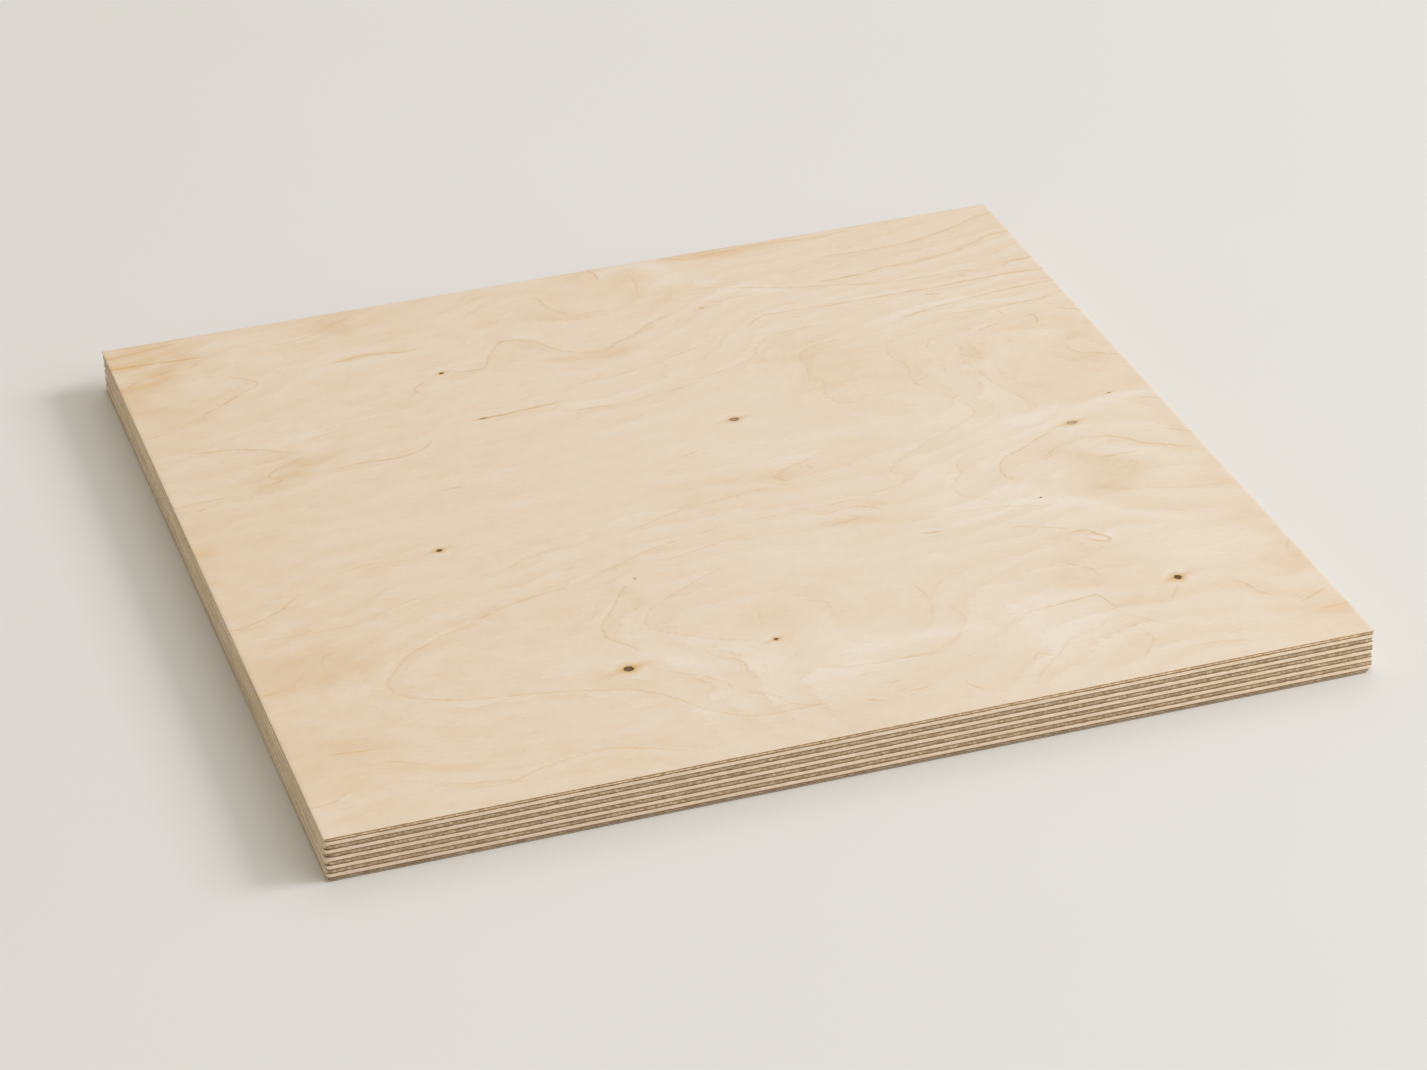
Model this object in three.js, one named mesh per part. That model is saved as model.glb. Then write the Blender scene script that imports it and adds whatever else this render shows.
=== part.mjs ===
// A square cut from a sheet of thin-faced birch plywood, 400 x 400 x 18 mm: thirteen rotary-cut veneers glued
// face to face, each with its grain across its neighbours'. The two face veneers are peeled much thinner than
// the plies inside, and the cross plies that carry them are the thinnest of those, so that the lay-up is the same
// from both faces. Millimetres, +Z up, origin at the middle of the underside; the face grain runs along X.

import * as THREE from "three";

// Driving dimensions
const sheetLength = 400; // along the face grain
const sheetWidth = 400; // across the face grain
const faceVeneerThickness = 0.35; // face and back, after sanding
const outerCrossPlyThickness = 1.25; // the two plies under the face veneers, grain along Y
const crossPlyThickness = 1.7; // the other plies with their grain along Y
const longPlyThickness = 1.6; // inner plies with their grain along X
const longPlyCount = 5; // the cross plies are one more, so that one lies under each face veneer

const faceVeneer = new THREE.MeshStandardMaterial({ color: 0xe3ceae, roughness: 0.6, metalness: 0 });
const crossPly = new THREE.MeshStandardMaterial({ color: 0xa98f6c, roughness: 0.8, metalness: 0 });
const longPly = new THREE.MeshStandardMaterial({ color: 0xddc6a4, roughness: 0.7, metalness: 0 });

// The lay-up, from the press bed up: a back veneer, cross and long plies in turn, and a face veneer.
function layUp() {
  const plies = [{ name: "back_veneer", thickness: faceVeneerThickness, material: faceVeneer }];
  for (let number = 1; number <= longPlyCount + 1; number++) {
    const underFace = number === 1 || number === longPlyCount + 1;
    const thickness = underFace ? outerCrossPlyThickness : crossPlyThickness;
    plies.push({ name: `cross_ply_${number}`, thickness, material: crossPly });
    if (number <= longPlyCount) {
      plies.push({ name: `long_ply_${number}`, thickness: longPlyThickness, material: longPly });
    }
  }
  plies.push({ name: "face_veneer", thickness: faceVeneerThickness, material: faceVeneer });
  return plies;
}

// All the veneers are trimmed by the same saw cuts, so they share one outline.
function sheetOutline() {
  const [halfLength, halfWidth] = [sheetLength / 2, sheetWidth / 2];
  return new THREE.Shape()
    .moveTo(-halfLength, -halfWidth)
    .lineTo(halfLength, -halfWidth)
    .lineTo(halfLength, halfWidth)
    .lineTo(-halfLength, halfWidth)
    .closePath();
}

// A veneer between two levels. It is stretched onto both levels in one step, so that its top and the
// underside of the next veneer are the same number and the glued faces meet with no gap or overlap.
function veneer(name, bottom, top, material) {
  const unitSheet = new THREE.ExtrudeGeometry(sheetOutline(), { depth: 1, bevelEnabled: false });
  const toLevels = new THREE.Matrix4().makeScale(1, 1, top - bottom).setPosition(0, 0, bottom);
  const mesh = new THREE.Mesh(unitSheet.applyMatrix4(toLevels), material);
  mesh.name = name;
  return mesh;
}

const sheet = new THREE.Group();
let level = 0;
for (const { name, thickness, material } of layUp()) {
  sheet.add(veneer(name, level, level + thickness, material));
  level += thickness;
}

export default sheet;
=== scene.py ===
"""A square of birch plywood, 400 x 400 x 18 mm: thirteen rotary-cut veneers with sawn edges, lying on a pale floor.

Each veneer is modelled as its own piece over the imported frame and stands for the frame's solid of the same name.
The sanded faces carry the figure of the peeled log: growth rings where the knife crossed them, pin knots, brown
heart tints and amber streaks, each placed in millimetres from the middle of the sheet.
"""

import math
from functools import partial

import bmesh
import bpy
import numpy as np
from bpy.props import FloatProperty, FloatVectorProperty, IntProperty, PointerProperty
from mathutils import Euler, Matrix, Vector


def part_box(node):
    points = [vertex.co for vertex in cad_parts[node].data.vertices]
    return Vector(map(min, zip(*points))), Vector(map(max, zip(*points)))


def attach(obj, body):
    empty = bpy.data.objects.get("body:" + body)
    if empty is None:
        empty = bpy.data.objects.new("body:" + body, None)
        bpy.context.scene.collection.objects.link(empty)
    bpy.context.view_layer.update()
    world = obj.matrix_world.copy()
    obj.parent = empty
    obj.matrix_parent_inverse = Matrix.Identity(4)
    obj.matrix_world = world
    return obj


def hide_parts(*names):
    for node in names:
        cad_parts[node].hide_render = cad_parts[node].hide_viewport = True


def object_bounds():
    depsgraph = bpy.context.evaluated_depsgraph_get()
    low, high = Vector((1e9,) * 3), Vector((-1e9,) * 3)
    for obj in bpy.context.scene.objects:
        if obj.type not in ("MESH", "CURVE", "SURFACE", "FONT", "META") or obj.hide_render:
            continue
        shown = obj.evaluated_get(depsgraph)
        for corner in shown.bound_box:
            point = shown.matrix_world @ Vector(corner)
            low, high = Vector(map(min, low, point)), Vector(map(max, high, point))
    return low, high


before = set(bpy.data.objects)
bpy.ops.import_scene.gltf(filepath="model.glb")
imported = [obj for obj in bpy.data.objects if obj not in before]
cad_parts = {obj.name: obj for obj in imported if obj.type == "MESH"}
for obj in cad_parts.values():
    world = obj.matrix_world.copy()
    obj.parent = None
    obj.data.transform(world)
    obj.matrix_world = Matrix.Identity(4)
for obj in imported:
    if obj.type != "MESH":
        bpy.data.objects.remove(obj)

bl_info = {
    "name": "Birch Plywood Sheet",
    "version": (1, 0, 0),
    "blender": (4, 5, 0),
    "location": "View3D > Sidebar > Plywood",
    "description": "Models a square of birch plywood, veneer by veneer, on a pale floor",
    "category": "Add Mesh",
}

MM = 0.001
TINY = 1e-6  # m: nearer than this is the same place
CAD_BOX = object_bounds()
CAD_SIDE = (CAD_BOX[1][0] - CAD_BOX[0][0]) / MM

# The figure of the face veneer. Distances are in millimetres, X along the grain and Y across it. --------------------

# How dark a growth-ring line is, as a share of the brown heart tint
STRENGTHS = {"faint": 0.4, "clear": 0.62, "strong": 0.95, "dark": 1.8}
# Which side of a line, seen along its path, the wood is browner on
SIDES = {"left": 1, "right": -1}

# Growth-ring lines: colour, strength, browner side if there is one, and the path of the line
FACE_RINGS = (
    # The big cathedral at the lower left and the rings nested in it
    "amber faint left: -66,-60 -72,-62 -85,-64 -95,-67 -105,-71 -115,-76 -125,-80 -132,-84 -139,-88",
    "amber faint left: -132,-84 -139,-88 -144,-93 -149,-100 -153,-106 -152,-113 -147,-119 -140,-123 -130,-127",
    "amber faint left: -140,-123 -130,-127 -115,-130 -100,-133 -88,-136 -80,-139 -70,-142 -60,-150 -55,-156 -50,-163 "
     "-45,-168 -38,-173 -30,-176 -5,-176",
    "brown faint right: -66,-60 -58,-57 -50,-53 -43,-50 -33,-45 -25,-43 -18,-41 -10,-40 0,-38 20,-37 30,-36 45,-36 "
     "55,-35 62,-34 70,-32 76,-30 79,-27 80,-23 77,-21 76,-18 80,-13 85,-9 92,-5 99,0 104,2 112,6 118,10 123,13 125,18 "
     "124,25 122,29 119,34 117,38",
    "brown clear left: -46,-66 -51,-70 -54,-74 -58,-81 -62,-87 -66,-92 -68,-100 -67,-105 -63,-110 -60,-115 -60,-120",
    "brown faint left: -8,-68 -15,-70 -28,-77 -33,-80 -40,-84 -45,-87 -50,-95 -51,-101 -46,-107 -35,-115 -25,-121 "
     "-12,-126",
    "brown faint left: -8,-104 -10,-110 -10,-116",
    "brown faint right: 5,-101 10,-103 17,-107 18,-110 16,-116",
    "brown faint: -35,-57 -20,-53 -15,-52 -5,-49 10,-47",
    "brown faint: -38,-28 -30,-26 -20,-22 -8,-19 0,-18 10,-16 28,-15",
    # Below it
    "brown clear: -37,-123 -34,-130 -28,-135 -25,-139 -26,-144 -24,-149",
    "brown faint: -57,-132 -50,-137 -44,-141 -36,-150 -35,-156 -32,-158",
    "brown clear: -30,-155 -29,-160 -23,-163 -19,-171 -13,-175 -5,-177",
    "brown faint: 3,-152 10,-155 28,-156 42,-156 50,-152 54,-150 58,-144 62,-138 61,-131 60,-126 63,-122",
    "brown faint: 10,-162 24,-162",
    "amber strong: 8,-179 14,-182",
    "amber strong: 20,-171 24,-171",
    "amber faint: 22,-179 35,-178",
    "amber clear: 45,-178 48,-184 52,-189",
    # Left edge
    "amber clear: -200,-48 -195,-48 -190,-46 -178,-40 -174,-36 -168,-30",
    "brown faint: -190,-60 -150,-60 -145,-56 -135,-52 -118,-46",
    "brown faint: -103,-42 -90,-40 -80,-35 -62,-30",
    "brown faint: -200,-99 -183,-96",
    "amber faint: -164,-76 -171,-80 -173,-88",
    "amber clear: -188,-146 -175,-148 -162,-149",
    "amber faint: -170,-156 -158,-162 -151,-168",
    "amber faint: -200,-179 -190,-177 -182,-171",
    "amber faint: -150,-181 -130,-185 -126,-186 -112,-181 -95,-178 -85,-179 -78,-182 -62,-190",
    "brown faint: -200,53 -180,55 -170,54",
    "amber strong: -191,48 -187,49",
    "brown strong: -98,30 -86,30",
    # Upper left
    "brown strong: -185,97 -176,95 -167,94 -160,91 -153,88 -150,85 -145,83 -142,80",
    "amber clear left: -142,80 -144,76 -152,72 -157,68 -158,65 -154,61 -166,58",
    "brown strong: -135,62 -120,64 -110,63 -104,63 -98,65 -92,68 -89,74",
    "amber clear: -200,192 -180,195 -165,197",
    "amber strong: -200,182 -190,182 -178,181 -157,180",
    "amber faint: -200,160 -190,168 -180,171 -170,171 -160,177",
    "amber clear: -156,160 -148,153 -144,147 -153,141 -163,133 -171,128 -172,121",
    "amber strong: -112,154 -100,156 -93,155.6 -80,154 -69,156",
    "amber clear: -107,155.5 -98,157.4 -86,155.8",
    "brown faint: -152,-21 -141,-18 -130,-18 -124,-20 -116,-20",
    "brown clear: -134,180 -118,181 -108,186 -100,191 -90,195",
    "brown strong: -77,125 -84,119 -82,111",
    "brown faint: -140,90 -115,96",
    "brown faint: -130,98 -92,100",
    "brown faint: -200,115 -175,120",
    # The wave that runs right from the upper left knot
    "brown clear right: -68,129 -60,127 -52,127 -48,135 -44,142 -40,147 -35,148 -30,146 -25,142 -19,132 -15,129 "
     "-10,126 -3,124 3,126 8,130 15,133 20,137 24,141 38,148",
    # Middle, towards the back
    "brown faint: -30,93 -22,97 -14,99 -5,100 5,102 15,104 22,107 30,110 37,113 43,115 52,124",
    "brown faint right: -30,77 -12,75 -5,75 2,77 10,79 20,80 28,83 33,86 45,90 55,95 58,98 60,103 66,109 75,113 82,114 "
     "90,114 97,113",
    "brown strong: 62,122 69,129 75,131 85,131 102,130 125,130 150,130 178,131 200,130",
    "brown faint: -27,189 -38,184 -47,177 -50,172",
    "amber strong right: 15,200 17,195 16,188",
    "amber faint left: 30,190 31,182 28,168",
    "amber dark: 49,147 53,148",
    # Upper right
    "amber clear: 48,200 60,195 75,197 95,198 115,196 140,197",
    "brown clear left: 200,192 190,189 180,184 172,181 158,177 140,175 120,176 110,177",
    "amber clear: 200,171 190,170 180,165 168,160 150,157 134,156 126,154",
    "brown dark: 127,154 110,153 104,153",
    "brown clear: 176,137 165,141 145,141 127,143 105,149 92,152 78,158 66,162 60,165 50,165 44,163",
    "brown strong: 200,143 190,142 184,138",
    "brown faint: 195,156 182,151 170,149",
    "brown dark: 143,125 151,123",
    "brown strong: 125,107 137,110 150,113 163,115 180,117 200,118",
    "brown clear: 140,108 147,103 182,103 193,105 200,107",
    # Right, round the brown islands
    "brown faint left: 103,97 92,98 80,95 75,90 74,84 74,78 73,72 76,62 74,56 73,51 76,44 80,42 95,43 110,44",
    "brown faint left: 113,90 110,77 113,65 111,55 111,50 112,46 117,41",
    "brown faint left: 134,88 130,83 125,74 124,68",
    "brown clear: 128,60 126,53",
    "brown clear left: 139,80 140,72 138,66 143,61 148,58",
    "brown faint left: 137,62 139,50 142,35 147,22 148,15 146,10",
    "amber strong: 150,83 157,86 165,88",
    "amber strong: 167,99 168,95",
    "brown strong: 178,93 180,88 179,83 176,81",
    "brown strong: 192,92 200,87",
    "amber faint: 161,75 162,68",
    "brown clear: 183,62 182,55 185,50 190,48 200,42",
    "brown faint: 178,35 176,30",
    "brown clear: 190,6 200,0",
    # Lower right
    "brown faint left: 111,-16 105,-20 101,-26 101,-31 95,-38 94,-43 95,-48 100,-52 105,-57 108,-61",
    "amber clear left: 150,-10 143,-13 136,-17 130,-21 123,-24 119,-28 116,-37 118,-42 121,-49",
    "brown faint left: 150,-22 142,-26 137,-31 137,-36",
    "brown strong: 163,-21 168,-23 172,-26 175,-29 178,-33 190,-40 198,-44",
    "brown strong: 155,-38 177,-39",
    "brown clear: 167,-43 170,-48",
    "brown strong: 192,-25 200,-31",
    "brown faint: 65,-61 80,-60 105,-62 125,-68",
    "brown faint: 143,-59 155,-65 165,-69 190,-75 198,-77",
    "brown faint: 162,-82 166,-86 176,-94",
    "brown dark: 68,-71 78,-72",
    "brown clear: 100,-77 113,-82 127,-89",
    "amber strong: 121,-93 125,-91 130,-91 132,-95 136,-100 133,-102 128,-98 124,-95",
    "amber clear: 129,-103 131,-106 128,-107",
    "brown clear: 110,-110 116,-115 120,-120 122,-127",
    "brown faint: 70,-118 80,-115 98,-106 110,-107",
    "amber faint: 42,-44 47,-46 51,-50 48,-51 33,-53",
    "amber strong: 50,-40 58,-44 62,-47",
    "amber clear: 30,-4 31,-8 36,-13",
    "amber faint: 32,-4 46,1 60,8",
    "amber faint: -11,13 -5,13 -3,16",
    "brown clear: 0,22 10,25",
    "brown strong: 82,-142 90,-141 110,-139 115,-139 118,-149 122,-148",
    "brown faint: 70,-190 76,-182 84,-175 93,-166 100,-163 108,-160 114,-153",
    "amber faint: 84,-175 78,-171 73,-177",
    "brown clear: 165,-145 170,-150 172,-157 178,-165",
    "brown strong: 182,-171 190,-168 198,-164",
    "amber faint: 188,-178 200,-177",
    "amber faint: 200,-125 195,-133 197,-136",
    # More, across the sheet
    "brown faint: 46,2 47,-6 48,-16",
    "brown clear: 53,-107 55,-120",
    "brown faint: 150,-22 156,-20 163,-21",
    "brown clear: 147,-141 143,-147 139,-153",
    "amber faint: 112,-190 118,-182 122,-176 120,-168 118,-160",
    "amber faint: 128,-188 140,-186 158,-190",
    "brown faint: 114,-148 120,-156 128,-165 138,-172",
    "amber clear: -30,77 -18,76 -6,75",
    "amber faint: -19,183 -13,181 -12,173 -8,166 -1,161",
    "brown faint: 0,161 12,160",
    "brown faint: 54,150 66,152 80,153",
    # Pith fleck: the dark broken streak left by a larva's track
    "brown dark: -69,83 -64,83 -50,84 -40,85 -30,86",
)

# Soft patches of tint: place, half-length, half-width, tilt in degrees, brown tint and amber tint. Minus is paler.
FACE_PATCHES = (
    # Brown heart tint
    (-147, 66, 8, 8, 30, 0.75, 0.25), (-158, 89, 8, 4, -20, 0.4, 0), (-190, 167, 16, 6, 25, 0.45, 0.75),
    (-190, 0, 26, 230, 0, 0.25, 0.05), (-191, 189, 18, 4, 0, 0.4, 0.75), (-186, 202, 16, 4, 0, 0.4, 0.5),
    (-96, 193, 11, 6, 20, 0.35, 0.15), (153, -35, 10, 8, 0, 0.35, 0.1), (-190, 147, 8, 14, 0, 0.2, 0.4),
    (-200, 195, 45, 5, 0, 0.1, 0.2), (-184, -88, 19, 8, 10, 0.35, 0.35), (-177, -156, 14, 8, -10, 0.15, 0.35),
    (-199, -122, 6, 18, 0, 0.1, 0.6), (90, 72, 20, 26, 0, 0.25, 0.15), (82, 92, 14, 6, -10, 0.35, 0.1),
    (76, 80, 4, 12, 0, 0.2, 0.1), (110, 50, 6, 8, 0, 0.3, 0.1), (144, 68, 7, 14, 0, 0.25, 0.2),
    (180, 85, 4, 6, 0, 0.4, 0.1), (179, 42, 8, 7, 40, 0.7, 0.1), (178, 12, 11, 5, 0, 0.5, 0.1),
    (180, 60, 18, 26, 0, 0.2, 0.15), (151, -46, 13, 13, -30, 0.6, 0.1), (150, -30, 12, 9, 0, 0.2, 0.1),
    (48, -50, 12, 6, 0, 0.4, 0.35), (60, -44, 9, 6, -30, 0.2, 0.2), (30, -9, 34, 12, 0, 0.3, 0.2),
    (32, -6, 5, 9, 0, 0, 0.4), (127, -94, 8, 4, 0, 0.3, 0.3), (122, -115, 7, 14, 20, 0.4, 0.2),
    (134, -146, 11, 9, 0, 0.4, 0.15), (170, -155, 9, 6, -45, 0.4, 0.2), (195, -174, 12, 7, 0, 0.35, 0.4),
    (199, -136, 7, 8, 0, 0.05, 0.3), (203, -60, 7, 120, 0, 0.15, 0.25), (67, -155, 8, 20, 10, 0.2, 0.05),
    (0, -180, 28, 6, 0, 0.3, 0), (65, -130, 7, 10, 0, 0.05, 0), (-52, -70, 7, 5, 55, 0.35, 0.1),
    (-120, -22, 26, 5, 5, 0.2, 0.15), (-98, 187, 20, 8, 0, 0.3, 0.15), (-12, 175, 12, 6, -50, 0.35, 0.15),
    (-34, 149, 8, 4, -30, 0.3, 0.1), (-6, 128, 18, 4, 0, 0.45, 0.45), (20, 194, 6, 12, 0, 0.3, 0.25),
    (30, 178, 5, 14, 0, 0.2, 0.15), (74, 207, 34, 6, 0, 0.55, 0.7), (56, 167, 13, 4, 0, 0.3, 0.05),
    (-83, 117, 4, 4, 0, 0.3, 0), (-171, 128, 5, 5, 0, 0.2, 0.2), (-206, 18, 6, 11, 0, 0.2, 0.6),
    (-199, -12, 4, 8, 0, 0.2, 0.2), (85, 27, 20, 8, -20, 0.2, 0), (-172, 18, 11, 4, 0, 0.2, 0.1),
    (-70, 55, 30, 10, -20, 0.15, 0), (-110, 45, 30, 14, 0, 0.1, 0), (-53, 0, 5, 3, 0, 0.25, 0.1),
    (-142, -166, 18, 5, 0, 0.05, 0.3), (8, -112, 22, 14, 0, 0.15, 0.15), (-80, -181, 20, 4, 0, 0, 0.2),
    (-26, 168, 12, 7, 0, 0.3, 0.05), (169, 29, 9, 6, 0, 0.3, 0.05), (-179, -177, 11, 9, 0, 0, 0.25),
    (-140, -113, 7, 7, 0, 0.2, 0.1), (-116, 162, 10, 6, 0, 0.25, 0), (-75, -60, 60, 16, 20, 0.1, 0.05),
    # Broad tints, at the left, the back and the lower right
    (-220, 0, 170, 400, 0, 0.05, 0.2), (0, 210, 400, 50, 0, 0.1, 0.12), (120, -40, 110, 120, 0, -0.15, -0.15),
    # Pale sapwood
    (-160, 188, 36, 6, 0, -0.4, -0.1), (40, 188, 9, 14, 35, -0.5, -0.25), (75, 152, 26, 7, -10, -0.4, 0),
    (135, 115, 26, 6, 15, -0.15, 0), (162, 108, 30, 3, 0, -0.4, 0), (110, 103, 12, 8, 0, -0.3, -0.15),
    (112, 14, 16, 14, 0, -0.2, -0.1), (145, 5, 12, 6, -20, -0.5, 0), (185, 4, 16, 4, 0, -0.5, 0),
    (130, -35, 7, 12, 0, -0.1, 0), (168, -33, 10, 4, -20, -0.45, 0), (108, -66, 28, 5, -12, -0.35, 0),
    (150, -85, 28, 5, -35, -0.35, 0), (98, -149, 26, 12, 5, -0.4, -0.1), (85, -168, 14, 11, 0, -0.3, 0),
    (-5, -150, 24, 14, 0, -0.3, 0), (42, -147, 24, 10, 0, -0.45, -0.2), (-38, -128, 22, 11, -30, -0.4, -0.15),
    (-36, -166, 12, 8, 0, -0.3, -0.1), (-170, -172, 14, 10, 0, -0.35, 0), (-196, -188, 12, 9, 0, -0.45, 0),
    (-190, -67, 22, 6, 5, -0.2, 0.05), (-182, -112, 16, 8, 0, -0.25, 0), (163, -118, 18, 16, 0, -0.2, 0),
    (-84, 141, 10, 7, 0, -0.2, 0), (-158, 150, 14, 8, 0, -0.15, 0), (-117, 166, 22, 8, 0, -0.25, -0.2),
    (163, 60, 10, 7, 0, -0.35, 0), (170, 77, 6, 5, 0, -0.25, 0), (-186, 78, 14, 18, 0, -0.1, -0.1),
    (5, 60, 7, 9, 0, -0.2, 0), (30, -72, 20, 10, 0, -0.15, 0), (-84, -126, 9, 6, 0, -0.25, -0.05),
    (-28, -47, 9, 5, 0, -0.25, -0.05), (128, -97, 4, 2.5, 0, -0.5, -0.2), (90, -32, 8, 16, -10, -0.3, 0),
    (-60, 146, 8, 9, 0, -0.2, 0), (-31, 163, 8, 8, 0, -0.1, -0.25), (40, 22, 40, 6, 0, -0.2, 0),
)

# Pin knots: place, half-length along the grain, half-width, how dark the core is and how full of amber resin
FACE_KNOTS = (
    (-70, 128.8, 1, 0.9, 0.9, 0.1), (31.3, 45.5, 2.1, 1.5, 0.3, 0.7), (158, -6.7, 2.2, 1.5, 0.2, 0.1),
    (-109.5, -16.5, 1.2, 1.1, 1, 0.1), (-66.7, -127.5, 2.1, 1.9, 0.95, 0.05), (-9, -126.5, 0.9, 1, 0.95, 0.2),
    (148.3, -137.2, 1.5, 1.7, 1, 0.05), (182, 12, 0.8, 0.5, 0.3, 0.6), (-45, -64.5, 0.5, 0.6, 0.2, 1),
    (123, -60.5, 0.5, 0.5, 0.2, 1), (-64.5, 83.4, 1.4, 0.6, 0.4, 0.4),
)

# The back veneer, from the same log: fewer marks, and plainer
BACK_RINGS = (
    "brown clear left: -200,120 -150,126 -96,118 -40,128 20,122 84,132 140,126 200,134",
    "brown clear left: -200,76 -140,84 -88,72 -30,86 30,78 96,92 150,80 200,88",
    "amber clear right: -120,-40 -70,-18 -10,-8 50,-12 96,-30 104,-52 70,-68 10,-74 -60,-66 -112,-58 -120,-40",
    "brown faint right: -84,-42 -40,-28 6,-24 48,-32 60,-44 30,-54 -20,-54 -70,-50 -84,-42",
    "brown clear left: -200,20 -150,14 -110,24 -60,20 0,30 60,22 120,34 200,24",
    "brown clear right: -200,-112 -140,-104 -80,-116 -20,-108 50,-118 120,-104 200,-114",
    "amber clear right: -200,-160 -130,-150 -70,-164 0,-154 70,-166 140,-150 200,-158",
    "brown dark: 88,44 96,45 110,44 118,46",
)
BACK_PATCHES = (
    (-20, -40, 60, 24, 0, 0.25, 0.1), (120, 100, 60, 20, 10, -0.3, 0), (-130, 40, 50, 20, -5, 0.3, 0.1),
    (140, -130, 50, 24, 0, 0.25, 0.15), (-140, -140, 50, 22, 0, -0.35, 0), (-60, 160, 70, 20, 0, 0.2, 0),
)
BACK_KNOTS = (
    (-142, 60, 1.8, 1.5, 0.9, 0.1), (64, -128, 2.4, 2, 0.8, 0.2), (12, 152, 1.4, 1.2, 0.3, 0.5),
    (168, 8, 1.6, 1.4, 0.9, 0.3), (-24, -42, 1.2, 1.1, 0.6, 0.4),
)


def linear(code):
    """The linear colour, with alpha, of an sRGB hex value."""
    channels = [(code >> shift & 255) / 255 for shift in (16, 8, 0)]
    return (*(c / 12.92 if c <= 0.04045 else ((c + 0.055) / 1.055) ** 2.4 for c in channels), 1.0)


def colour_property(name, code, description):
    """A colour that the user can change, from its sRGB hex value."""
    return FloatVectorProperty(
        name=name, description=description, default=linear(code), subtype="COLOR", size=4, min=0, max=1
    )


def size_property(name, millimetres, description):
    """A length that the user can change, from its value in millimetres."""
    return FloatProperty(
        name=name, description=description, default=millimetres * MM, min=0, unit="LENGTH", precision=5
    )


def share_property(name, share, description):
    """A share of the light that the user can change."""
    return FloatProperty(name=name, description=description, default=share, min=0)


class PlywoodSettings(bpy.types.PropertyGroup):
    """Sizes and colours of the veneers."""

    recess: size_property("End grain recess", 0.15, "How far sawn end grain lies behind the long grain beside it")
    arris: size_property("Arris", 0.1, "Radius of the rubbed edges of the sanded veneers")
    rounding: size_property("Edge rounding", 0.25, "Radius of the rubbed edges of the inner veneers")
    corner: size_property("Corner", 1.7, "Radius of the corners of the long plies, which stand proud")
    crumbled: size_property("Crumbled corner", 2.5, "Mean radius of the corners of the cross plies")
    chip: size_property("Chipped corner", 3.4, "Size of the chip at the front right of the lowest veneers")
    wave: size_property("Glue line wave", 0.2, "How far the glue lines wander up and down")
    torn: size_property("Torn grain", 0.12, "Depth of the torn fibres on the end grain")
    knot_depth: size_property("Knot depth", 0.2, "How far the core of a pin knot has shrunk below the face")
    figure_shift: FloatVectorProperty(
        name="Figure shift", description="How far the figure lies from where its marks are written, along X and Y",
        default=(-0.35 * MM, -0.65 * MM), size=2, unit="LENGTH", precision=5,
    )
    cells: IntProperty(name="Face cells", description="Cells along one side of the face's mesh", default=284, min=20)
    sapwood: colour_property("Sapwood", 0xE3D1B8, "Plain birch between the rings")
    pale_wood: colour_property("Pale sapwood", 0xE9DFD0, "The palest birch")
    heart_tint: colour_property("Heart tint", 0xCBAE7F, "The browner wood inside the rings")
    amber: colour_property("Amber", 0xD8A758, "The orange streaks along the rings")
    knot_core: colour_property("Knot core", 0x573808, "The dead core of a pin knot")
    knot_wood: colour_property("Knot wood", 0xC4AC88, "The core of a sound pin knot")
    knot_resin: colour_property("Knot resin", 0x96683A, "The amber resin that fills a knot")
    long_grain: colour_property("Long grain edge", 0xF5E0C6, "Veneer sawn along its grain")
    long_grain_warm: colour_property("Warm long grain", 0xEED8B9, "Warmer stretches of the long grain")
    end_grain: colour_property("End grain edge", 0xB49974, "Veneer sawn across its grain")
    end_grain_pale: colour_property("Paler end grain", 0xDBC2A0, "Paler stretches of the end grain")
    rubbed_edge: colour_property("Rubbed edge", 0xEBD8BA, "The sides across the face grain, where dust hides the bands")
    rubbed_edge_dark: colour_property("Darker rubbed edge", 0xD7C39F, "Darker streaks of those sides")
    glue_film: colour_property("Glue film", 0x90724F, "The brown resin between the veneers")


class StageSettings(bpy.types.PropertyGroup):
    """The floor, the lamps and the camera."""

    floor: colour_property("Floor", 0xE0DDD6, "Pale painted floor")
    sky: share_property("Sky", 0.55, "Share of the light that comes evenly from all round")
    sky_tint: colour_property("Sky tint", 0xFFF9EF, "The room's light, a little warmer than the lamps'")
    lamp_tint: colour_property("Lamp tint", 0xF0F5FF, "The window's light, a little cooler than the room's")
    window: share_property("Window", 0.32, "Share of the light that comes from the right")
    fill: share_property("Fill", 0.14, "Share of the light from the front right")
    back: share_property("Back", 0.12, "Share of the light from behind on the right")
    lens: FloatProperty(name="Lens", description="Focal length on a 36 mm frame", default=109.5, unit="CAMERA")
    distance: size_property("Distance", 1722, "From the camera to the point it looks at")


# Modelling by operators ---------------------------------------------------------------------------------------------

SIDE_CUTS = (79, 1)  # cuts of a side, then of each part of it, into cells 2.5 mm long
CRISPER_RIGHT = 0.45  # radius of the corners on the right, as a share of those on the left
CHIPPED_PLY, CHIPPED_CORNER = "cross_ply_1", (1, -1)
CHIP_OF_FACE = 0.8  # size of the chip in the veneer under the chipped ply, as a share of that ply's
WAVE_LENGTH = 35 * MM  # of the waves in the glue lines
FIBRE_BUNDLE = 1.6 * MM  # width of the bundles that tear out of end grain
SHARP, SMOOTH_BELOW = math.radians(60), math.radians(40)
# The mesh at a knot, as shares of its size: how far round it the cells are finer, how wide the floor of its hollow
# is and how far the walls reach
FINER_CELLS, HOLLOW_FLOOR, HOLLOW_WALLS = 3.4, 0.6, 0.7


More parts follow.
